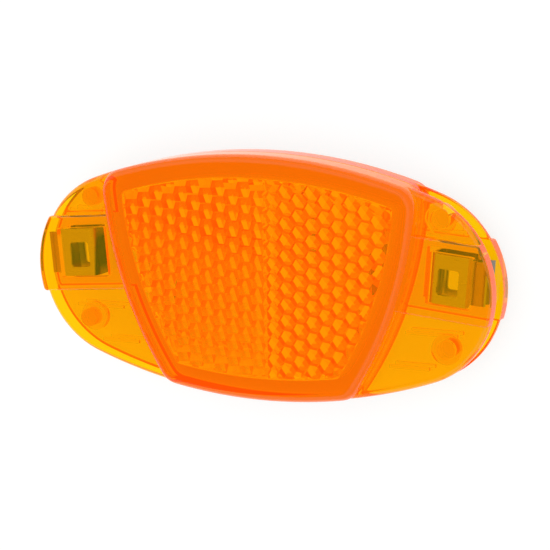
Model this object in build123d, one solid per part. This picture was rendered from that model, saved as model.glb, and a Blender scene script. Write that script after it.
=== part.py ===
from build123d import *
import os
from math import atan2, cos, pi, sin, sqrt

# Oval outline: two long arcs that run tangent into two end arcs
LENGTH = 86.0
HEIGHT = 42.5
END_RADIUS = 16.6

# Levels of one half, from the parting plane outwards
WELD_GAP = 0.03
SLOT_GAP = 3.0
WING_THICKNESS = 1.5
WING_EDGE_RADIUS = 1.0
SLOT_EDGE_RADIUS = 0.2
BOX_RISE = 1.0
BOX_EDGE_RADIUS = 0.5
PAD_RISE = 1.8

# Raised lens pad: bowed trapezoid, set by the wing's reach beyond it at the oval's top, middle and bottom
WING_TOP_REACH = 13.0
WING_MIDDLE_REACH = 15.9
WING_BOTTOM_REACH = 26.5
PAD_CORNER_RADIUS = 4.0
SHOULDER_RADIUS = 1.7
PAD_SIDE_WALL = 3.9
PAD_FACE_WALL = 1.4

# Cube-corner prisms behind the pad: hexagons across flats, with two fields that meet at a seam
PRISM_PITCH = 2.8
PRISM_MARGIN = 2.4
PRISM_ROOT = 0.3
PRISM_CORNER_RADIUS = 1.0
SEAM_OFFSET = 2.1

# Clip box at each end, square to the spoke that it takes
BOX_FROM_END = 8.5
BOX_ABOVE_MIDDLE = 2.2
BOX_TILT = 5.0
BOX_HEIGHT = 13.4
BOX_PAD_OVERLAP = 1.0
POCKET_ROOF = 1.2
POCKET_INNER_REACH = 3.1
POCKET_LONG_REACH = 5.0
POCKET_OUTER_REACH = 4.7
POCKET_CORNER_RADIUS = 0.3

# Spring clip, a channel of strip steel with a snap seat for the spoke
CLIP_STRIP = 0.4
CLIP_WIDTH = 8.4
CLIP_SIDE_CLEARANCE = 0.2
CLIP_ROOF_CLEARANCE = 0.1
CLIP_END_CLEARANCE = 0.3
CLIP_BEND_RADIUS = 1.0
CLIP_ARM_END = 3.8
CLIP_NECK_WIDTH = 7.2
CLIP_NECK_START = 4.1
CLIP_HOLE_LENGTH = 3.8
CLIP_HOLE_HEIGHT = 4.4
CLIP_HOLE_CENTRE = (0.5, -0.45)
CLIP_HOLE_RADIUS = 0.5
SPOKE_RADIUS = 1.0
SPOKE_CLEARANCE = 0.05
SEAT_OFFSET = 5.5
SEAT_HALF_ANGLE = 44.0
LIP_REACH = 1.4
LIP_RISE = 1.25

# Locating pins and sockets between the wings: distance from the oval's end, height above its middle
PIN_PLACES = [(9.8, 12.0), (8.8, -9.8)]
PIN_RADIUS = 1.6
PIN_CLEARANCE = 0.1
PIN_END_CLEARANCE = 0.2
SOCKET_WALL = 0.9
SOCKET_HEIGHT = 1.1

# Stiffening ribs inside the wings: height above the oval's middle, start and stop from its end
RIBS = [(9.6, 5.6, 12.2), (-7.4, 6.7, 16.0), (-13.4, 11.7, 19.0)]
RIB_WIDTH = 0.6
RIB_HEIGHT = 0.4

# Levels and places that follow from the sizes above
SLOT_LEVEL = SLOT_GAP / 2
WING_LEVEL = SLOT_LEVEL + WING_THICKNESS
BOX_LEVEL = WING_LEVEL + BOX_RISE
PAD_LEVEL = WING_LEVEL + PAD_RISE
ROOF_LEVEL = BOX_LEVEL - POCKET_ROOF
FACE_LEVEL = PAD_LEVEL - PAD_FACE_WALL
PARTING_LEVEL = WELD_GAP / 2
SEAT_RADIUS = SPOKE_RADIUS + SPOKE_CLEARANCE
END_CENTRE = LENGTH / 2 - END_RADIUS
SIDE_RADIUS = (END_CENTRE**2 + (HEIGHT / 2)**2 - END_RADIUS**2) / (HEIGHT - 2 * END_RADIUS)
SIDE_CENTRE = SIDE_RADIUS - HEIGHT / 2


def oval(inset=0.0):
    """Face of the four-arc oval, drawn inset by an even margin."""
    half_length = LENGTH / 2 - inset
    half_height = HEIGHT / 2 - inset
    end_radius = END_RADIUS - inset
    join_angle = atan2(SIDE_CENTRE, END_CENTRE)
    x = END_CENTRE + end_radius * cos(join_angle)
    y = end_radius * sin(join_angle)
    return make_face([
        ThreePointArc((-x, y), (0, half_height), (x, y)),
        ThreePointArc((x, y), (half_length, 0), (x, -y)),
        ThreePointArc((x, -y), (0, -half_height), (-x, -y)),
        ThreePointArc((-x, -y), (-half_length, 0), (-x, y)),
    ])


def pad_outline(inset=0.0):
    """The oval's two long arcs cut by two bowed flanks, with rounded corners, inset by an even margin."""
    flank = ThreePointArc((LENGTH / 2 - WING_TOP_REACH, HEIGHT / 2), (LENGTH / 2 - WING_MIDDLE_REACH, 0),
                          (LENGTH / 2 - WING_BOTTOM_REACH, -HEIGHT / 2))
    disc = Circle(flank.radius - inset)
    half_height = HEIGHT / 2 - inset
    tip = sqrt((SIDE_RADIUS - inset)**2 - SIDE_CENTRE**2)
    outline = make_face([
        ThreePointArc((-tip, 0), (0, half_height), (tip, 0)),
        ThreePointArc((tip, 0), (0, -half_height), (-tip, 0)),
    ])
    for side in (1, -1):
        outline &= Pos(side * flank.arc_center.X, flank.arc_center.Y) * disc
    return fillet(outline.vertices(), max(PAD_CORNER_RADIUS - inset, PRISM_CORNER_RADIUS))


def at(level):
    """Plane parallel to the parting plane."""
    return Plane.XY.offset(level)


def box_frame(side, level=0.0):
    """Plane at a clip box: local X points outwards for side 1, local Y along the spoke."""
    return Location((side * (LENGTH / 2 - BOX_FROM_END), BOX_ABOVE_MIDDLE, level), (0, 0, -side * BOX_TILT))


def wing():
    """Thin oval plate: a broad round on its outer rim and a fine one towards the slot."""
    plate = extrude(at(SLOT_LEVEL) * oval(), WING_THICKNESS)
    plate = fillet(plate.faces().sort_by(Axis.Z)[-1].edges(), WING_EDGE_RADIUS)
    return fillet(plate.faces().sort_by(Axis.Z)[0].edges(), SLOT_EDGE_RADIUS)


def pad():
    """Hollow lens pad with a rounded shoulder, open at the parting plane."""
    body = extrude(at(PARTING_LEVEL) * pad_outline(), PAD_LEVEL - PARTING_LEVEL)
    body = fillet(body.faces().sort_by(Axis.Z)[-1].edges(), SHOULDER_RADIUS)
    return body - extrude(pad_outline(PAD_SIDE_WALL), FACE_LEVEL)


def box(side):
    """Raised clear box over the clip, from the pad's wall to the end of the oval."""
    band = box_frame(side) * Rectangle(LENGTH, BOX_HEIGHT)
    outer_side = Location((side * LENGTH / 2, 0)) * Rectangle(LENGTH, HEIGHT)
    plan = (oval() & band & outer_side) - pad_outline(BOX_PAD_OVERLAP)
    start = (SLOT_LEVEL + SLOT_EDGE_RADIUS + WING_LEVEL - WING_EDGE_RADIUS) / 2
    body = extrude(at(start) * plan, BOX_LEVEL - start)
    top = body.faces().sort_by(Axis.Z)[-1]
    return fillet(top.edges(), BOX_EDGE_RADIUS)


def pocket(side):
    """Room for the clip under the clear roof of its box, open to the slot; longer on the left."""
    inner_reach = POCKET_INNER_REACH if side > 0 else POCKET_LONG_REACH
    length = inner_reach + POCKET_OUTER_REACH
    plan = RectangleRounded(length, CLIP_WIDTH + 2 * CLIP_SIDE_CLEARANCE, POCKET_CORNER_RADIUS)
    middle = Location((side * (POCKET_OUTER_REACH - inner_reach) / 2, 0))
    return extrude(box_frame(side, PARTING_LEVEL) * middle * plan, ROOF_LEVEL - PARTING_LEVEL)


def prism_block(x_from, columns, turn):
    """Slab with a floor of cube corners: each hexagon is three rhombi that meet at a low apex.

    Corners lie on a lattice, three steps to a column and two to a pitch; turn is 1 or -1, for half a turn.
    """
    step_x = PRISM_PITCH / (2 * sqrt(3))
    step_y = PRISM_PITCH / 2
    drop = PRISM_PITCH / sqrt(6)
    top = FACE_LEVEL + PRISM_ROOT
    rows = int(HEIGHT / PRISM_PITCH) + 2
    hexagon = [(2, 0), (1, 1), (-1, 1), (-2, 0), (-1, -1), (1, -1)]

    def point(place, level):
        return (x_from + place[0] * step_x, place[1] * step_y - HEIGHT / 2, level)

    faces = []
    rims = {}
    for column in range(columns):
        for row in range(rows):
            middle = (3 * column, 2 * row + column % 2)
            places = [(middle[0] + turn * a, middle[1] + turn * b) for a, b in hexagon]
            ring = [point(place, FACE_LEVEL - drop * (1 - k % 2)) for k, place in enumerate(places)]
            low = point(middle, FACE_LEVEL - 2 * drop)
            for k in (0, 2, 4):
                faces.append(Face(Wire.make_polygon([low, ring[k], ring[k + 1], ring[k + 2 - 6]])))
            for k in range(6):
                key = frozenset([places[k - 1], places[k]])
                rims[key] = None if key in rims else (ring[k - 1], ring[k])
    outline = [ends for ends in rims.values() if ends]
    for a, b in outline:
        faces.append(Face(Wire.make_polygon([a, b, (b[0], b[1], top), (a[0], a[1], top)])))
    lid = [Line((a[0], a[1], top), (b[0], b[1], top)) for a, b in outline]
    faces.append(Face(Wire(lid)))
    return Solid(Shell(faces))


def prisms():
    """Two prism fields, turned half a turn to each other, trimmed inside the pad's wall."""
    column_width = PRISM_PITCH * sqrt(3) / 2
    reach = LENGTH / 2 - WING_TOP_REACH
    column = extrude(pad_outline(SHOULDER_RADIUS + PRISM_MARGIN), PAD_LEVEL)
    fields = []
    for side in (-1, 1):
        width = reach + abs(SEAM_OFFSET)
        start = -width if side < 0 else 0
        block = prism_block(SEAM_OFFSET + start - column_width / 2, int(width / column_width) + 2, side)
        half_space = Pos(SEAM_OFFSET + side * LENGTH / 2, 0, 0) * Box(LENGTH, LENGTH, LENGTH)
        fields.append(block & (column & half_space))
    return fields


def pin(x, y):
    """Locating pin that crosses the slot."""
    length = SLOT_GAP - PIN_END_CLEARANCE
    return extrude(at(SLOT_LEVEL) * Pos(x, y) * Circle(PIN_RADIUS), -length)


def socket(x, y):
    """Ring that takes the other half's pin."""
    bore = PIN_RADIUS + PIN_CLEARANCE
    ring = Circle(bore + SOCKET_WALL) - Circle(bore)
    return extrude(at(SLOT_LEVEL) * Pos(x, y) * ring, -SOCKET_HEIGHT)


def rib(side, y, start, stop):
    """Low rib along the inside of a wing."""
    plan = Pos(side * (LENGTH / 2 - (start + stop) / 2), y) * Rectangle(stop - start, RIB_WIDTH)
    return extrude(at(SLOT_LEVEL) * plan, -RIB_HEIGHT)


def lens_half():
    """Front half: wing, pad, prisms, clip boxes, pins on the left and sockets on the right."""
    half = wing() - extrude(pad_outline(PAD_SIDE_WALL), PAD_LEVEL)
    half += pad()
    for side in (-1, 1):
        half += box(side)
        half -= pocket(side)
        for y, start, stop in RIBS:
            half += rib(side, y, start, stop)
    for from_end, y in PIN_PLACES:
        x = LENGTH / 2 - from_end
        half += pin(-x, y)
        half += socket(x, y)
    for field in prisms():
        half += field
    return half


def clip_profile():
    """Channel centre line: web, rounded bends, flat arms, snap seat round the spoke, flared lips."""
    arm = ROOF_LEVEL - CLIP_ROOF_CLEARANCE - CLIP_STRIP / 2
    web = CLIP_END_CLEARANCE - POCKET_INNER_REACH + CLIP_STRIP / 2
    bend = web + CLIP_BEND_RADIUS
    turn = arm - CLIP_BEND_RADIUS
    corner = CLIP_BEND_RADIUS * sqrt(0.5)
    seat = SEAT_RADIUS + CLIP_STRIP / 2
    seat_x = seat * sin(SEAT_HALF_ANGLE * pi / 180)
    seat_z = seat * cos(SEAT_HALF_ANGLE * pi / 180)
    lines = [Line((web, turn), (web, -turn))]
    for up in (1, -1):
        lines += [
            ThreePointArc((bend, up * arm), (bend - corner, up * (turn + corner)), (web, up * turn)),
            Line((bend, up * arm), (CLIP_ARM_END, up * arm)),
            Line((CLIP_ARM_END, up * arm), (SEAT_OFFSET - seat_x, up * seat_z)),
            ThreePointArc((SEAT_OFFSET - seat_x, up * seat_z), (SEAT_OFFSET, up * seat),
                          (SEAT_OFFSET + seat_x, up * seat_z)),
            Line((SEAT_OFFSET + seat_x, up * seat_z), (SEAT_OFFSET + LIP_REACH, up * LIP_RISE)),
        ]
    return Wire(lines)


def spoke_clip():
    """Spring clip in place at the right end: broad channel, narrower snap seat, a hole in each arm."""
    section = make_face(offset(clip_profile(), CLIP_STRIP / 2, side=Side.BOTH))
    strip = extrude(Plane.XZ * section, CLIP_WIDTH / 2, both=True)
    broad = Pos(CLIP_NECK_START - LENGTH / 2, 0) * Rectangle(LENGTH, CLIP_WIDTH)
    neck = Pos(LENGTH / 2, 0) * Rectangle(LENGTH, CLIP_NECK_WIDTH)
    hole = Pos(*CLIP_HOLE_CENTRE) * RectangleRounded(CLIP_HOLE_LENGTH, CLIP_HOLE_HEIGHT, CLIP_HOLE_RADIUS)
    plan = broad + neck - hole
    return box_frame(1) * (strip & extrude(plan, BOX_LEVEL, both=True))


os.makedirs("parts", exist_ok=True)
front_half = lens_half()
right_clip = spoke_clip()
export_step(front_half, "parts/front_lens_half.step")
export_step(front_half.rotate(Axis.Y, 180), "parts/rear_lens_half.step")
export_step(right_clip, "parts/right_spoke_clip.step")
export_step(right_clip.rotate(Axis.Y, 180), "parts/left_spoke_clip.step")
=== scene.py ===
from math import atan2, cos, pi, radians, sin, sqrt

import bpy
import numpy as np
from mathutils import Matrix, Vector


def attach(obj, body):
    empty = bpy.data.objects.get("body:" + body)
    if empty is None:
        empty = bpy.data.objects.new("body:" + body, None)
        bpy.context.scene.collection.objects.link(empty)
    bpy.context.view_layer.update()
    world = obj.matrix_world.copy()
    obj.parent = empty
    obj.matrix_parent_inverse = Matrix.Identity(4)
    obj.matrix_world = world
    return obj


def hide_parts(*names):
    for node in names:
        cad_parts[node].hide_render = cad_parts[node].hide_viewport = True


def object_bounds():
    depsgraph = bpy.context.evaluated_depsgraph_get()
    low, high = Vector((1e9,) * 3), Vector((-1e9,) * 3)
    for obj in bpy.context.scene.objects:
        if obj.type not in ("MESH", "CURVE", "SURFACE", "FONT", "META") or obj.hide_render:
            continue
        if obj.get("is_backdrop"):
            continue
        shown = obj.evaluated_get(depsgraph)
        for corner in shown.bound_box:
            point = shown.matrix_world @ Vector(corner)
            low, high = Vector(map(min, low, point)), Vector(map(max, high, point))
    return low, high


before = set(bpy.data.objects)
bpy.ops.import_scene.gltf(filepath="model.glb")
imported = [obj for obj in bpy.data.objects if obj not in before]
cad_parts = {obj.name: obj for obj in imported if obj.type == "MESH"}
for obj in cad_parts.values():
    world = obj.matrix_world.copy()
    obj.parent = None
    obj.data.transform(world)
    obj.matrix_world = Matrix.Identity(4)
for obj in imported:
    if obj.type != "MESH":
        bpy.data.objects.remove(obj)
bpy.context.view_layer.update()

# All sizes are in millimetres, as in the solids
MM = 0.001

# Oval outline: two long arcs that run tangent into two end arcs
LENGTH = 86.0
HEIGHT = 42.5
END_RADIUS = 16.6
END_CENTRE = LENGTH / 2 - END_RADIUS
SIDE_RADIUS = (END_CENTRE**2 + (HEIGHT / 2)**2 - END_RADIUS**2) / (HEIGHT - 2 * END_RADIUS)
SIDE_CENTRE = SIDE_RADIUS - HEIGHT / 2
JOIN_ANGLE = atan2(SIDE_CENTRE, END_CENTRE)

# Levels of one half, from the parting plane outwards
PARTING_LEVEL = 0.015
SLOT_LEVEL = 1.5
WING_LEVEL = 3.0
WING_EDGE_RADIUS = 1.0
SLOT_EDGE_RADIUS = 0.2
BOX_LEVEL = 4.0
BOX_EDGE_RADIUS = 0.5
ROOF_LEVEL = 2.8
PAD_LEVEL = 4.8
FACE_LEVEL = 3.4

# Raised pad: its flanks pass three points, at the oval's top, middle and bottom
FLANK_POINTS = ((30.0, HEIGHT / 2), (27.1, 0.0), (16.5, -HEIGHT / 2))
PAD_CORNER_RADIUS = 4.0
SHOULDER_RADIUS = 1.7
PAD_SIDE_WALL = 3.9
WELD_GROOVE = 0.12

# Cube-corner prisms: hexagons in two fields that meet at a seam, upright on the left, leaning on the right
PRISM_PITCH = 2.8
PRISM_COLUMN = PRISM_PITCH * sqrt(3) / 2
PRISM_STEEPNESS = 1.05
PRISM_LEAN = radians(3.2)
PRISM_INSET = 4.1
PRISM_CORNER_RADIUS = 1.0
PRISM_ROOT = 0.3
FIELD_CORNER_RADIUS = 0.25
SEAM = 2.1

# Clip boxes and the pockets inside them
BOX_CENTRE = (34.5, 2.2)
BOX_TILT = radians(5.0)
BOX_HEIGHT = 13.4
BOX_CORNER_RADIUS = 0.15
BOX_PAD_OVERLAP = 1.0
POCKET_INNER_REACH = 3.1
POCKET_LONG_REACH = 5.0
POCKET_OUTER_REACH = 4.7
POCKET_HEIGHT = 8.8
POCKET_CORNER_RADIUS = 0.3

# Spring clips: web, arms, seats and lips; points of a seat arc that lie inside its mitred ends are skipped
CLIP_STRIP = 0.4
CLIP_WIDTH = 8.4
CLIP_ARM_LEVEL = 2.5
CLIP_WEB = -2.6
CLIP_BEND_RADIUS = 1.0
CLIP_ARM_END = 3.8
CLIP_NECK_WIDTH = 7.2
CLIP_NECK_START = 4.1
CLIP_NECK_RADIUS = 0.5
CLIP_HOLE_SIZE = (3.8, 4.4)
CLIP_HOLE_CENTRE = (0.5, -0.45)
CLIP_HOLE_RADIUS = 0.5
CLIP_EDGE = 0.06
CLIP_EDGE_STEPS = 2
CLIP_EDGE_ANGLE = radians(50.0)
SEAT_OFFSET = 5.5
SEAT_RADIUS = 1.05
SEAT_HALF_ANGLE = radians(44.0)
SEAT_SKIPPED = (1, 2, -2)
LIP_REACH = 1.4
LIP_RISE = 1.25

# Pins, sockets and ribs between the wings, placed for the right end: a rib is its height and its two ends
PIN_PLACES = ((33.2, 12.0), (34.2, -9.8))
PIN_RADIUS = 1.6
PIN_LENGTH = 2.8
SOCKET_BORE = 1.7
SOCKET_RADIUS = 2.6
SOCKET_HEIGHT = 1.1
RIBS = ((9.6, 30.8, 37.4), (-7.4, 27.0, 36.3), (-13.4, 24.0, 31.3))
RIB_WIDTH = 0.6
RIB_HEIGHT = 0.4
RIB_CORNER_RADIUS = 0.15

# Mesh: spacing and steps of points, overlap of joined solids, reach of cuts, radius of a straight bound
SPACING = 0.6
EDGE_STEPS = 8
MOST_STEPS = 400
MERGE_DIGITS = 5
OVERLAP = 0.25
CUT_PAST = 1.0
HAIR = 0.01
STRAIGHT = 20000.0
SMOOTH_ANGLE = radians(24.0)

# Camera: seen from the right and a little above the pad's wide edge
CAMERA_YAW = radians(-26.632)
CAMERA_PITCH = radians(11.005)
CAMERA_ROLL = radians(0.955)
CAMERA_DISTANCE = 400.0
CAMERA_SIDE_STEP = 1.72
CAMERA_NEAR = 10.0
FOCAL_PIXELS = 2334.2
IMAGE_PIXELS = 550
SENSOR_WIDTH = 36.0

# Amber acrylic: tint of its surfaces, colour and density of its depth, a painted glow that stands in for
# light scattered inside it, waves from moulding
ACRYLIC_TINT = "#FFDDA0"
ACRYLIC_DEPTH = "#FFF900"
ACRYLIC_DENSITY = 3.0
ACRYLIC_IOR = 1.49
ACRYLIC_ROUGHNESS = 0.02
PAINTED_GLOW_COLOUR = "#BCFF00"
PAINTED_GLOW = 0.04
WAVE_LENGTH = 4.0
WAVE_DEPTH = 0.02
WAVE_DETAIL = 2.0
WAVE_STRENGTH = 0.2

# Spring steel: its rolling lines are drawn wider than real ones, so that they show; shade is painted dark on
# the left clip's web
STEEL_COLOUR = "#D2C6B8"
STEEL_ROUGHNESS = (0.22, 0.4)
ROLLING_WIDTH = 0.25
ROLLING_STRETCH = 25.0
ROLLING_DEPTH = 0.01
ROLLING_STRENGTH = 0.3
WEB_PAINTED_SHADE = "#4A382C"
WEB_PLACE = BOX_CENTRE[0] + CLIP_WEB - CLIP_STRIP / 2
WEB_SHADE_REACH = (0.2, 0.5)

# White floor, a hair under the lowest face: half its width, its paint, and the glow that shows it white
FLOOR_GAP = 0.05
FLOOR_HALF = 600.0
FLOOR_PAINT = "#949494"
FLOOR_GLOW = 0.76

# White studio: direction of its dark board, then cosine of the angle from it and brightness round it
WHITE = "#FFFFFF"
BOARD_DIRECTION = (-0.44, -0.19, 0.877)
RING = ((0.2, 0.25), (0.55, 0.65), (0.75, 0.65), (0.88, 0.04))
LIGHT_BOUNCES = 32


def arc_chain(circles, corner):
    """Arcs of a rounded outline inside all the circles, which bound it in turn, anticlockwise.

    Two neighbours, each smaller by the corner radius, cross at the centre of the corner arc between them.
    Returns centre, radius, start angle and sweep of each side arc and corner arc in order.
    """
    centre = np.array([c[:2] for c in circles], float)
    radius = np.array([c[2] for c in circles], float)
    inner = radius - corner
    step = np.roll(centre, -1, axis=0) - centre
    distance = np.hypot(step[:, 0], step[:, 1])
    unit = step / distance[:, None]
    along = (inner**2 - np.roll(inner, -1)**2 + distance**2) / (2 * distance)
    across = np.sqrt(inner**2 - along**2)
    left = np.column_stack([-unit[:, 1], unit[:, 0]])
    turn = centre + unit * along[:, None] + left * across[:, None]
    out = turn - centre
    back = turn - np.roll(centre, -1, axis=0)
    leave = np.arctan2(out[:, 1], out[:, 0])
    arrive = np.arctan2(back[:, 1], back[:, 0])
    start = np.column_stack([np.roll(arrive, 1), leave]).ravel()
    stop = np.column_stack([leave, arrive]).ravel()
    centres = np.stack([centre, turn], axis=1).reshape(-1, 2)
    radii = np.column_stack([radius, np.full_like(radius, corner)]).ravel()
    return centres, radii, start, np.mod(stop - start, 2 * pi)


def oval_chain():
    """The oval's own four arcs, tangent where they meet."""
    centres = np.array([(END_CENTRE, 0), (0, -SIDE_CENTRE), (-END_CENTRE, 0), (0, SIDE_CENTRE)], float)
    radii = np.array([END_RADIUS, SIDE_RADIUS, END_RADIUS, SIDE_RADIUS])
    start = np.array([-JOIN_ANGLE, JOIN_ANGLE, pi - JOIN_ANGLE, pi + JOIN_ANGLE])
    sweep = np.array([2 * JOIN_ANGLE, pi - 2 * JOIN_ANGLE, 2 * JOIN_ANGLE, pi - 2 * JOIN_ANGLE])
    return centres, radii, start, sweep


def disc_chain(x, y, radius):
    """A full circle as one arc."""
    return np.array([(x, y)], float), np.array([radius]), np.array([0.0]), np.array([2 * pi])


def line(x, y, angle):
    """A straight bound through a point, as a very large circle; the angle is that of its outward side."""
    return x - STRAIGHT * cos(angle), y - STRAIGHT * sin(angle), STRAIGHT


def slab(x, y, length, height, tilt, corner):
    """Rounded rectangle about a point, with its length turned by the tilt."""
    sides = []
    for angle, half in ((0, length / 2), (pi / 2, height / 2), (pi, length / 2), (1.5 * pi, height / 2)):
        way = angle + tilt
        sides.append(line(x + half * cos(way), y + half * sin(way), way))
    return arc_chain(sides, corner)


def flank():
    """Circle through the flank's three points: it solves x*a + y*b + c = x*x + y*y for the three."""
    points = np.array(FLANK_POINTS)
    a, b, c = np.linalg.solve(np.column_stack([points, np.ones(3)]), (points**2).sum(axis=1))
    return a / 2, b / 2, sqrt(c + (a * a + b * b) / 4)


def pad_sides():
    """The pad's four bounding circles, anticlockwise from the right flank."""
    x, y, radius = flank()
    top = (0, -SIDE_CENTRE, SIDE_RADIUS)
    bottom = (0, SIDE_CENTRE, SIDE_RADIUS)
    return [(x, y, radius), top, (-x, y, radius), bottom]


def shrink(circles, inset):
    """The same bounds moved inwards."""
    return [(x, y, radius - inset) for x, y, radius in circles]


def rings(chain, profile):
    """Outline points at each (inset, level) of a profile, at even angles: centre plus radius less inset.

    A straight bound gets one point alone, at its start.
    """
    centres, radii, start, sweep = chain
    count = np.ceil(np.clip(np.abs(radii * sweep) / SPACING, EDGE_STEPS, MOST_STEPS)).astype(int)
    count[radii > STRAIGHT / 2] = 1
    arc = np.repeat(np.arange(len(count)), count)
    share = np.arange(count.sum()) - np.repeat(np.cumsum(count) - count, count)
    angle = start[arc] + sweep[arc] * share / count[arc]
    inset, level = np.array(profile, float).T
    reach = radii[arc] - inset[:, None]
    x = centres[arc, 0] + reach * np.cos(angle)
    y = centres[arc, 1] + reach * np.sin(angle)
    return np.stack([x, y, np.broadcast_to(level[:, None], x.shape)], axis=-1)


def piece(name, points, faces):
    """Object at the origin from points in millimetres."""
    mesh = bpy.data.meshes.new(name)
    mesh.from_pydata(np.asarray(points) * MM, [], faces)
    mesh.validate()
    made = bpy.data.objects.new(name, mesh)
    bpy.context.scene.collection.objects.link(made)
    return made


def stack(name, chain, profile):
    """Closed solid: outlines stacked along a profile of (inset, level), joined by quads and capped."""
    grid = rings(chain, profile)
    levels, count = grid.shape[:2]
    index = np.arange(levels * count).reshape(levels, count)
    ahead = np.roll(index, -1, axis=1)
    walls = np.stack([index[:-1], ahead[:-1], ahead[1:], index[1:]], axis=-1).reshape(-1, 4)
    faces = walls.tolist() + [index[0, ::-1].tolist(), index[-1].tolist()]
    return piece(name, grid.reshape(-1, 3), faces)


def straight(low, high):
    """Profile of a plain upright wall."""
    return [(0.0, low), (0.0, high)]


def rounded(high, radius):
    """Upper part of a profile: a quarter circle from the wall to the flat top."""
    turn = np.linspace(0, pi / 2, EDGE_STEPS + 1)
    return [(radius * (1 - cos(t)), high - radius * (1 - sin(t))) for t in turn]


def both_rounded(low, low_radius, high, high_radius):
    """Profile of a wall rounded at its foot and its top."""
    foot = [(inset, low - level) for inset, level in rounded(0.0, low_radius)]
    return foot[::-1] + rounded(high, high_radius)


def join(target, operation, tools):
    """Unites, cuts or intersects the target with each tool, as its new mesh, and removes the tools."""
    for tool in tools:
        step = target.modifiers.new(tool.name, "BOOLEAN")
        step.operation = operation
        step.solver = "MANIFOLD"
        step.object = tool
    view = bpy.context.evaluated_depsgraph_get()
    target.data = bpy.data.meshes.new_from_object(target.evaluated_get(view))
    target.modifiers.clear()
    for tool in tools:
        bpy.data.objects.remove(tool)
    return target


def smooth(made):
    """Smooth shading with creases at true edges; large flat faces keep flat normals."""
    made.data.shade_smooth()
    made.data.set_sharp_from_angle(angle=SMOOTH_ANGLE)
    finish = made.modifiers.new("flat_faces", "WEIGHTED_NORMAL")
    finish.keep_sharp = True
    return made


def wing():
    """Thin oval plate with a broad round on its outer rim, a hair inside the pad's and boxes' walls."""
    edge = both_rounded(SLOT_LEVEL, SLOT_EDGE_RADIUS, WING_LEVEL, WING_EDGE_RADIUS)
    return stack("wing", oval_chain(), [(inset + HAIR, level) for inset, level in edge])


def pad():
    """Solid pad with a rounded shoulder and a small groove along the weld line."""
    groove = [(WELD_GROOVE, PARTING_LEVEL), (0.0, PARTING_LEVEL + WELD_GROOVE)]
    profile = groove + rounded(PAD_LEVEL, SHOULDER_RADIUS)
    return stack("pad", arc_chain(pad_sides(), PAD_CORNER_RADIUS), profile)


def cavity():
    """Hollow behind the pad's face."""
    chain = arc_chain(shrink(pad_sides(), PAD_SIDE_WALL), PRISM_CORNER_RADIUS)
    return stack("cavity", chain, straight(-CUT_PAST, FACE_LEVEL))


def box(side):
    """Clip box from the pad's wall to the oval's end, and up from halfway along the wing's upright rim.

    Its outline is two straight bounds, the end arc and a bound inside the pad, where the pad's core ends it.
    """
    x, y = side * BOX_CENTRE[0], BOX_CENTRE[1]
    tilt = -side * BOX_TILT
    half = BOX_HEIGHT / 2
    upper = pi / 2 + tilt
    lower = -pi / 2 + tilt
    top = line(x + half * cos(upper), y + half * sin(upper), upper)
    bottom = line(x + half * cos(lower), y + half * sin(lower), lower)
    end = (side * END_CENTRE, 0, END_RADIUS)
    inner = line(side * FLANK_POINTS[2][0], 0, pi if side > 0 else 0)
    sides = [end, top, inner, bottom] if side > 0 else [end, bottom, inner, top]
    start = (SLOT_LEVEL + SLOT_EDGE_RADIUS + WING_LEVEL - WING_EDGE_RADIUS) / 2
    wall = [(0.0, start)] + rounded(BOX_LEVEL, BOX_EDGE_RADIUS)
    made = stack("box", arc_chain(sides, BOX_EDGE_RADIUS + BOX_CORNER_RADIUS), wall)
    return join(made, "DIFFERENCE", [pad_core()])


def pad_core():
    """Block that keeps the boxes out of the pad's hollow."""
    chain = arc_chain(shrink(pad_sides(), BOX_PAD_OVERLAP), PAD_CORNER_RADIUS - BOX_PAD_OVERLAP)
    return stack("pad_core", chain, straight(-CUT_PAST, PAD_LEVEL + CUT_PAST))


def pocket(side):
    """Room for the clip under the box's roof, longer on the left."""
    inner_reach = POCKET_INNER_REACH if side > 0 else POCKET_LONG_REACH
    middle = (POCKET_OUTER_REACH - inner_reach) / 2
    tilt = -side * BOX_TILT
    x = side * BOX_CENTRE[0] + side * middle * cos(tilt)
    y = BOX_CENTRE[1] + side * middle * sin(tilt)
    length = inner_reach + POCKET_OUTER_REACH
    chain = slab(x, y, length, POCKET_HEIGHT, tilt, POCKET_CORNER_RADIUS)
    return stack("pocket", chain, straight(-CUT_PAST, ROOF_LEVEL))


def cube_corner(turn):
    """Plan and height of one cube corner: its tip, then six corners round it, low and high in turn.

    Two of the cube's edges are tilted with its axis, which leans in the right field alone. Their slopes give
    the slopes of the facets, and the tip is set beside the middle by the shift at which every high corner
    comes to the same level.
    """
    edge_x = np.array([sqrt(2 / 3), -sqrt(1 / 6)]) * turn
    edge_y = sqrt(1 / 2)
    edge_z = PRISM_STEEPNESS * sqrt(1 / 3)
    lean = PRISM_LEAN if turn > 0 else 0.0
    x = edge_x * cos(lean) + edge_z * sin(lean)
    z = edge_z * cos(lean) - edge_x * sin(lean)
    near, far = np.abs(z / x)
    side = (z[1] + near * abs(x[1])) / edge_y
    across = PRISM_PITCH / 2
    run = across * abs(x[1]) / edge_y
    shift = ((PRISM_COLUMN - run) * far - near * run - side * across) / (2 * (far + near))
    short = run + shift
    long = PRISM_COLUMN - short
    low = (long + shift) * near
    other_low = across * z[1] / edge_y
    high = (long - shift) * far
    corners = np.array([(-shift, 0, 0),
                        (long, 0, low), (short, across, high), (-short, across, other_low),
                        (-long, 0, high), (-short, -across, other_low), (short, -across, high)])
    corners[1:, 0] += HAIR * np.sign(corners[1:, 0])
    return corners * (turn, turn, 1) - (0, 0, high)


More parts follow.
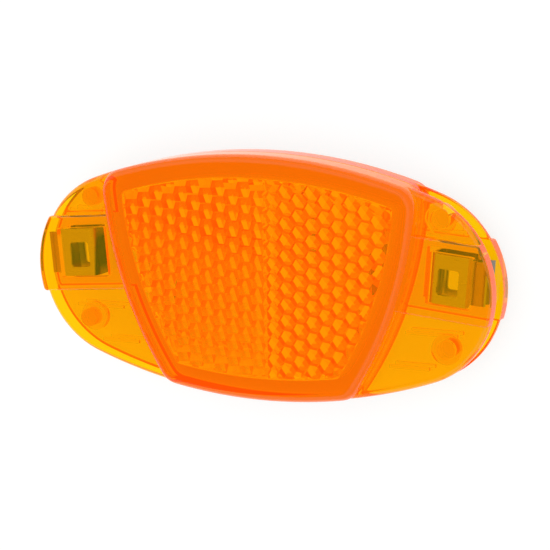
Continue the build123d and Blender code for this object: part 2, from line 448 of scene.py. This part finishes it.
def prism_columns(x_from, columns, turn):
    """Columns of cube corners: slabs whose underside is three facets round each tip.

    The lid is the same faces, laid flat and turned over. Walls stand on the edges that only one facet has.
    """
    rows = int(HEIGHT / PRISM_PITCH) + 2
    column, row = np.meshgrid(columns, np.arange(rows), indexing="ij")
    middle = np.stack([x_from + column * PRISM_COLUMN,
                       (row + column % 2 / 2) * PRISM_PITCH - HEIGHT / 2,
                       np.full(column.shape, FACE_LEVEL)], axis=-1).reshape(-1, 1, 3)
    round_tip = np.array([(0, 3, 2, 1), (0, 5, 4, 3), (0, 1, 6, 5)])
    corners = (middle + cube_corner(turn))[:, round_tip].reshape(-1, 3)
    points, index = np.unique(np.round(corners, MERGE_DIGITS), axis=0, return_inverse=True)
    facets = index.reshape(-1, 4)
    lid_points = points * (1, 1, 0) + (0, 0, FACE_LEVEL + PRISM_ROOT)
    lid = facets[:, ::-1] + len(points)
    edges = np.stack([facets, np.roll(facets, -1, axis=1)], axis=-1).reshape(-1, 2)
    key = np.sort(edges, axis=1)
    which, times = np.unique(key, axis=0, return_inverse=True, return_counts=True)[1:]
    rim = edges[times[which.ravel()] == 1]
    walls = np.column_stack([rim[:, 1], rim[:, 0], rim[:, 0] + len(points), rim[:, 1] + len(points)])
    return piece("prisms", np.vstack([points, lid_points]), np.vstack([facets, lid, walls]).tolist())


def prism_field(side):
    """One prism field: its columns joined, then trimmed to the pad's inset outline and the seam."""
    width = FLANK_POINTS[0][0] + SEAM
    start = -width if side < 0 else 0.0
    x_from = SEAM + start - PRISM_COLUMN / 2
    count = int(width / PRISM_COLUMN) + 2
    block = prism_columns(x_from, np.arange(0, count, 2), side)
    join(block, "UNION", [prism_columns(x_from, np.arange(1, count, 2), side)])
    right, top, left, bottom = shrink(pad_sides(), PRISM_INSET)
    seam = line(SEAM - side * HAIR, 0, pi if side > 0 else 0.0)
    sides = [right, top, seam, bottom] if side > 0 else [seam, top, left, bottom]
    trim = stack("trim", arc_chain(sides, FIELD_CORNER_RADIUS), straight(-CUT_PAST, PAD_LEVEL))
    return join(block, "INTERSECT", [trim])


def pin(x, y):
    """Locating pin that crosses the slot."""
    wall = straight(SLOT_LEVEL - PIN_LENGTH, SLOT_LEVEL + OVERLAP)
    return stack("pin", disc_chain(x, y, PIN_RADIUS), wall)


def socket(x, y):
    """Ring that takes the other half's pin."""
    wall = straight(SLOT_LEVEL - SOCKET_HEIGHT, SLOT_LEVEL + OVERLAP)
    ring = stack("socket", disc_chain(x, y, SOCKET_RADIUS), wall)
    bore = stack("bore", disc_chain(x, y, SOCKET_BORE), straight(-CUT_PAST, SLOT_LEVEL + 2 * OVERLAP))
    return join(ring, "DIFFERENCE", [bore])


def rib(side, y, x_from, x_to):
    """Low rib along the inside of a wing."""
    chain = slab(side * (x_from + x_to) / 2, y, x_to - x_from, RIB_WIDTH, 0.0, RIB_CORNER_RADIUS)
    return stack("rib", chain, straight(SLOT_LEVEL - RIB_HEIGHT, SLOT_LEVEL + OVERLAP))


def front_lens():
    """Front half: wing, pad and boxes hollowed out, then prisms, pins, sockets and ribs set inside."""
    half = wing()
    half.name = "front_lens"
    join(half, "UNION", [pad(), box(-1), box(1)])
    join(half, "DIFFERENCE", [cavity(), pocket(-1), pocket(1)])
    inside = [prism_field(-1), prism_field(1)]
    for side in (-1, 1):
        inside += [rib(side, *place) for place in RIBS]
    for x, y in PIN_PLACES:
        inside += [pin(-x, y), socket(x, y)]
    join(half, "UNION", inside)
    return smooth(half)


def turned_over(made, name):
    """Copy turned half a turn about the oval's height."""
    copy = made.copy()
    copy.name = name
    copy.data = made.data.copy()
    copy.data.transform(Matrix.Rotation(pi, 4, "Y"))
    bpy.context.scene.collection.objects.link(copy)
    return copy


def clip_line():
    """Upper half of the clip's centre line: web, quarter bend, arm, slope, seat arc, lip."""
    turn = np.linspace(pi, pi / 2, EDGE_STEPS + 1)
    bend = np.column_stack([CLIP_WEB + CLIP_BEND_RADIUS * (1 + np.cos(turn)),
                            CLIP_ARM_LEVEL - CLIP_BEND_RADIUS * (1 - np.sin(turn))])
    seat = SEAT_RADIUS + CLIP_STRIP / 2
    swing = np.linspace(-SEAT_HALF_ANGLE, SEAT_HALF_ANGLE, 2 * EDGE_STEPS + 1)
    saddle = np.column_stack([SEAT_OFFSET + seat * np.sin(swing), seat * np.cos(swing)])
    saddle = np.delete(saddle, SEAT_SKIPPED, axis=0)
    arm_end = (CLIP_ARM_END, CLIP_ARM_LEVEL)
    lip = (SEAT_OFFSET + LIP_REACH, LIP_RISE)
    return np.vstack([bend, arm_end, saddle, lip])


def strip_section(path, thickness):
    """Closed section: the path moved half a thickness to each side along its mitred normals."""
    way = np.diff(path, axis=0)
    way /= np.hypot(way[:, 0], way[:, 1])[:, None]
    before = np.vstack([way[:1], way])
    after = np.vstack([way, way[-1:]])
    normal = np.column_stack([-(before + after)[:, 1], (before + after)[:, 0]])
    normal /= (normal * np.column_stack([-before[:, 1], before[:, 0]])).sum(axis=1)[:, None]
    return np.vstack([path + normal * thickness / 2, (path - normal * thickness / 2)[::-1]])


def clip_band():
    """Channel of strip steel: the section of its web, arms, seats and lips, drawn across the width."""
    upper = clip_line()
    section = strip_section(np.vstack([upper[::-1], upper * (1, -1)]), CLIP_STRIP)
    count = len(section)
    x, z = np.tile(section, (2, 1)).T
    y = np.repeat([CLIP_WIDTH / 2, -CLIP_WIDTH / 2], count)
    index = np.arange(count)
    ahead = np.roll(index, -1)
    walls = np.column_stack([index, ahead, ahead + count, index + count])
    faces = walls.tolist() + [index[::-1].tolist(), (index + count).tolist()]
    return piece("right_clip", np.column_stack([x, y, z]), faces)


def neck_cut(side):
    """Block that takes one side of the strip down to its neck."""
    x = CLIP_NECK_START + LENGTH / 2
    y = side * (CLIP_NECK_WIDTH + CLIP_WIDTH) / 2
    chain = slab(x, y, LENGTH, CLIP_WIDTH, 0.0, CLIP_NECK_RADIUS)
    return stack("neck_cut", chain, straight(-LENGTH, LENGTH))


def hole_cut():
    """Block that cuts the square hole through both arms."""
    chain = slab(*CLIP_HOLE_CENTRE, *CLIP_HOLE_SIZE, 0.0, CLIP_HOLE_RADIUS)
    return stack("hole", chain, straight(-LENGTH, LENGTH))


def right_clip():
    """Right clip: the band cut to its neck and hole, turned into its box, with bevelled sheared edges."""
    clip = clip_band()
    join(clip, "DIFFERENCE", [neck_cut(-1), neck_cut(1), hole_cut()])
    place = Matrix.Translation((BOX_CENTRE[0] * MM, BOX_CENTRE[1] * MM, 0))
    clip.data.transform(place @ Matrix.Rotation(-BOX_TILT, 4, "Z"))
    edge = clip.modifiers.new("sheared_edge", "BEVEL")
    edge.width = CLIP_EDGE * MM
    edge.segments = CLIP_EDGE_STEPS
    edge.limit_method = "ANGLE"
    edge.angle_limit = CLIP_EDGE_ANGLE
    return smooth(clip)


def linear(hex_colour):
    """Linear colour with alpha from an sRGB hex value, by the sRGB curve."""
    share = np.array([int(hex_colour[i:i + 2], 16) for i in (1, 3, 5)]) / 255
    value = np.where(share <= 0.04045, share / 12.92, ((share + 0.055) / 1.055)**2.4)
    return (*value.tolist(), 1.0)


def node(tree, kind, sockets=None, **settings):
    """Adds a node with its settings; a socket takes a value, or a link where it is given a socket."""
    made = tree.nodes.new(kind)
    for name, value in settings.items():
        setattr(made, name, value)
    for name, value in (sockets or {}).items():
        if isinstance(value, bpy.types.NodeSocket):
            tree.links.new(value, made.inputs[name])
        else:
            made.inputs[name].default_value = value
    return made


def empty_material(name):
    """Material with an empty node tree."""
    made = bpy.data.materials.new(name)
    made.use_nodes = True
    made.node_tree.nodes.clear()
    return made


def amber_acrylic():
    """Clear amber acrylic, moulded and polished: glossy, slightly wavy, deeper in colour where thick, with a
    faint painted glow.
    """
    made = empty_material("amber_acrylic")
    tree = made.node_tree
    place = node(tree, "ShaderNodeTexCoord").outputs["Object"]
    flow = node(tree, "ShaderNodeTexNoise", {
        "Vector": place, "Scale": 1 / (WAVE_LENGTH * MM), "Detail": WAVE_DETAIL})
    wave = node(tree, "ShaderNodeBump", {
        "Height": flow.outputs["Fac"], "Strength": WAVE_STRENGTH, "Distance": WAVE_DEPTH * MM})
    # The emission is painted light: a faint glow that stands in for light scattered inside the amber
    surface = node(tree, "ShaderNodeBsdfPrincipled", {
        "Base Color": linear(ACRYLIC_TINT), "Roughness": ACRYLIC_ROUGHNESS, "IOR": ACRYLIC_IOR,
        "Transmission Weight": 1.0, "Emission Color": linear(PAINTED_GLOW_COLOUR), "Emission Strength": PAINTED_GLOW,
        "Normal": wave.outputs["Normal"]})
    depth = node(tree, "ShaderNodeVolumeAbsorption", {
        "Color": linear(ACRYLIC_DEPTH), "Density": ACRYLIC_DENSITY / MM})
    node(tree, "ShaderNodeOutputMaterial", {
        "Surface": surface.outputs["BSDF"], "Volume": depth.outputs["Volume"]})
    return made


def spring_steel():
    """Bright spring steel strip with fine rolling lines along it; shade is painted dark on the left clip's
    web.
    """
    made = empty_material("spring_steel")
    tree = made.node_tree
    place = node(tree, "ShaderNodeTexCoord").outputs["Object"]
    drawn = node(tree, "ShaderNodeMapping", {"Vector": place, "Scale": (1 / ROLLING_STRETCH, 1.0, 1.0)})
    lines = node(tree, "ShaderNodeTexNoise", {
        "Vector": drawn.outputs["Vector"], "Scale": 1 / (ROLLING_WIDTH * MM)})
    rough = node(tree, "ShaderNodeMapRange", {
        "Value": lines.outputs["Fac"], "To Min": STEEL_ROUGHNESS[0], "To Max": STEEL_ROUGHNESS[1]})
    wave = node(tree, "ShaderNodeBump", {
        "Height": lines.outputs["Fac"], "Strength": ROLLING_STRENGTH, "Distance": ROLLING_DEPTH * MM})
    # Painted shade: the steel darkens to the web colour near the left clip's web and fades back over the
    # shade reach
    axes = node(tree, "ShaderNodeSeparateXYZ", {"Vector": place})
    inward = node(tree, "ShaderNodeMath", {0: axes.outputs["X"], 1: WEB_PLACE * MM}, operation="ADD")
    apart = node(tree, "ShaderNodeMath", {0: inward.outputs[0]}, operation="ABSOLUTE")
    out_of_shade = node(tree, "ShaderNodeMapRange", {
        "Value": apart.outputs[0], "From Min": WEB_SHADE_REACH[0] * MM, "From Max": WEB_SHADE_REACH[1] * MM})
    web_shaded = node(tree, "ShaderNodeMix", {
        "Factor": out_of_shade.outputs["Result"], "A": linear(WEB_PAINTED_SHADE), "B": linear(STEEL_COLOUR)
    }, data_type="RGBA")
    surface = node(tree, "ShaderNodeBsdfPrincipled", {
        "Base Color": web_shaded.outputs["Result"], "Metallic": 1.0, "Roughness": rough.outputs["Result"],
        "Normal": wave.outputs["Normal"]})
    node(tree, "ShaderNodeOutputMaterial", {"Surface": surface.outputs["BSDF"]})
    return made


def floor():
    """Wide white floor with the object's shadow, white also where it is mirrored or seen through acrylic."""
    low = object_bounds()[0].z / MM - FLOOR_GAP
    corners = np.array([(-1, -1), (1, -1), (1, 1), (-1, 1)]) * FLOOR_HALF
    made = piece("floor", np.column_stack([corners, np.full(4, low)]), [(0, 1, 2, 3)])
    paint = empty_material("white_floor")
    tree = paint.node_tree
    path = node(tree, "ShaderNodeLightPath").outputs
    bent = node(tree, "ShaderNodeMath", {0: path["Is Glossy Ray"], 1: path["Is Transmission Ray"]},
                operation="MAXIMUM")
    view = node(tree, "ShaderNodeMath", {0: path["Is Camera Ray"], 1: bent.outputs[0]},
                operation="MAXIMUM")
    lit = node(tree, "ShaderNodeBsdfDiffuse", {"Color": linear(FLOOR_PAINT)})
    glow = node(tree, "ShaderNodeEmission", {"Color": linear(WHITE), "Strength": FLOOR_GLOW})
    seen = node(tree, "ShaderNodeAddShader", {0: lit.outputs[0], 1: glow.outputs[0]})
    mix = node(tree, "ShaderNodeMixShader", {0: view.outputs[0], 1: lit.outputs[0], 2: seen.outputs[0]})
    node(tree, "ShaderNodeOutputMaterial", {"Surface": mix.outputs[0]})
    made.data.materials.append(paint)
    made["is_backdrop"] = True


def surroundings():
    """White studio with one dark board in a ring of light, which only mirrored rays see."""
    world = bpy.data.worlds.new("white_studio")
    bpy.context.scene.world = world
    world.use_nodes = True
    tree = world.node_tree
    tree.nodes.clear()
    way = node(tree, "ShaderNodeTexCoord").outputs["Generated"]
    path = node(tree, "ShaderNodeLightPath").outputs
    near = node(tree, "ShaderNodeVectorMath", {0: way, 1: BOARD_DIRECTION}, operation="DOT_PRODUCT")
    ring = node(tree, "ShaderNodeValToRGB", {"Fac": near.outputs["Value"]})
    steps = ring.color_ramp.elements
    for share, grey in RING[1:-1]:
        steps.new(share)
    for step, (share, grey) in zip(steps, RING):
        step.position = share
        step.color = (grey, grey, grey, 1.0)
    mirrored = node(tree, "ShaderNodeMath", {0: path["Is Glossy Ray"], 1: path["Is Transmission Ray"]},
                    operation="SUBTRACT", use_clamp=True)
    level = node(tree, "ShaderNodeMix", {
        "Factor": mirrored.outputs[0], "A": 1.0, "B": ring.outputs["Color"]})
    light = node(tree, "ShaderNodeBackground", {
        "Color": linear(WHITE), "Strength": level.outputs["Result"]})
    node(tree, "ShaderNodeOutputWorld", {"Surface": light.outputs[0]})


def camera():
    """Camera at the photograph's angle: its axes are the rows of roll times pitch times yaw."""
    cy, sy = cos(CAMERA_YAW), sin(CAMERA_YAW)
    cp, sp = cos(CAMERA_PITCH), sin(CAMERA_PITCH)
    cr, sr = cos(CAMERA_ROLL), sin(CAMERA_ROLL)
    yaw = np.array([(cy, 0, sy), (0, 1, 0), (-sy, 0, cy)])
    pitch = np.array([(1, 0, 0), (0, cp, -sp), (0, sp, cp)])
    roll = np.array([(cr, -sr, 0), (sr, cr, 0), (0, 0, 1)])
    right, up, back = roll @ pitch @ yaw
    place = (back * CAMERA_DISTANCE + right * CAMERA_SIDE_STEP) * MM
    data = bpy.data.cameras.new("camera")
    data.sensor_width = SENSOR_WIDTH
    data.lens = SENSOR_WIDTH * FOCAL_PIXELS / IMAGE_PIXELS
    data.clip_start = CAMERA_NEAR * MM
    made = bpy.data.objects.new("camera", data)
    axes = np.column_stack([right, up, back, place])
    made.matrix_world = Matrix(np.vstack([axes, (0, 0, 0, 1)]).tolist())
    bpy.context.scene.collection.objects.link(made)
    bpy.context.scene.camera = made


front = front_lens()
rear = turned_over(front, "rear_lens")
right = right_clip()
left = turned_over(right, "left_clip")
acrylic = amber_acrylic()
steel = spring_steel()
for made, material, slot, solid in ((front, acrylic, "amber_acrylic", "front_lens_half"),
                                    (rear, acrylic, "amber_acrylic", "rear_lens_half"),
                                    (right, steel, "spring_steel", "right_spoke_clip"),
                                    (left, steel, "spring_steel", "left_spoke_clip")):
    made.data.materials.clear()
    made.data.materials.append(material)
    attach(made, "root")
    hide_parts(solid)

floor()
surroundings()
camera()
scene = bpy.context.scene
scene.view_settings.view_transform = "Standard"
scene.cycles.max_bounces = LIGHT_BOUNCES
scene.cycles.glossy_bounces = LIGHT_BOUNCES
scene.cycles.transmission_bounces = LIGHT_BOUNCES
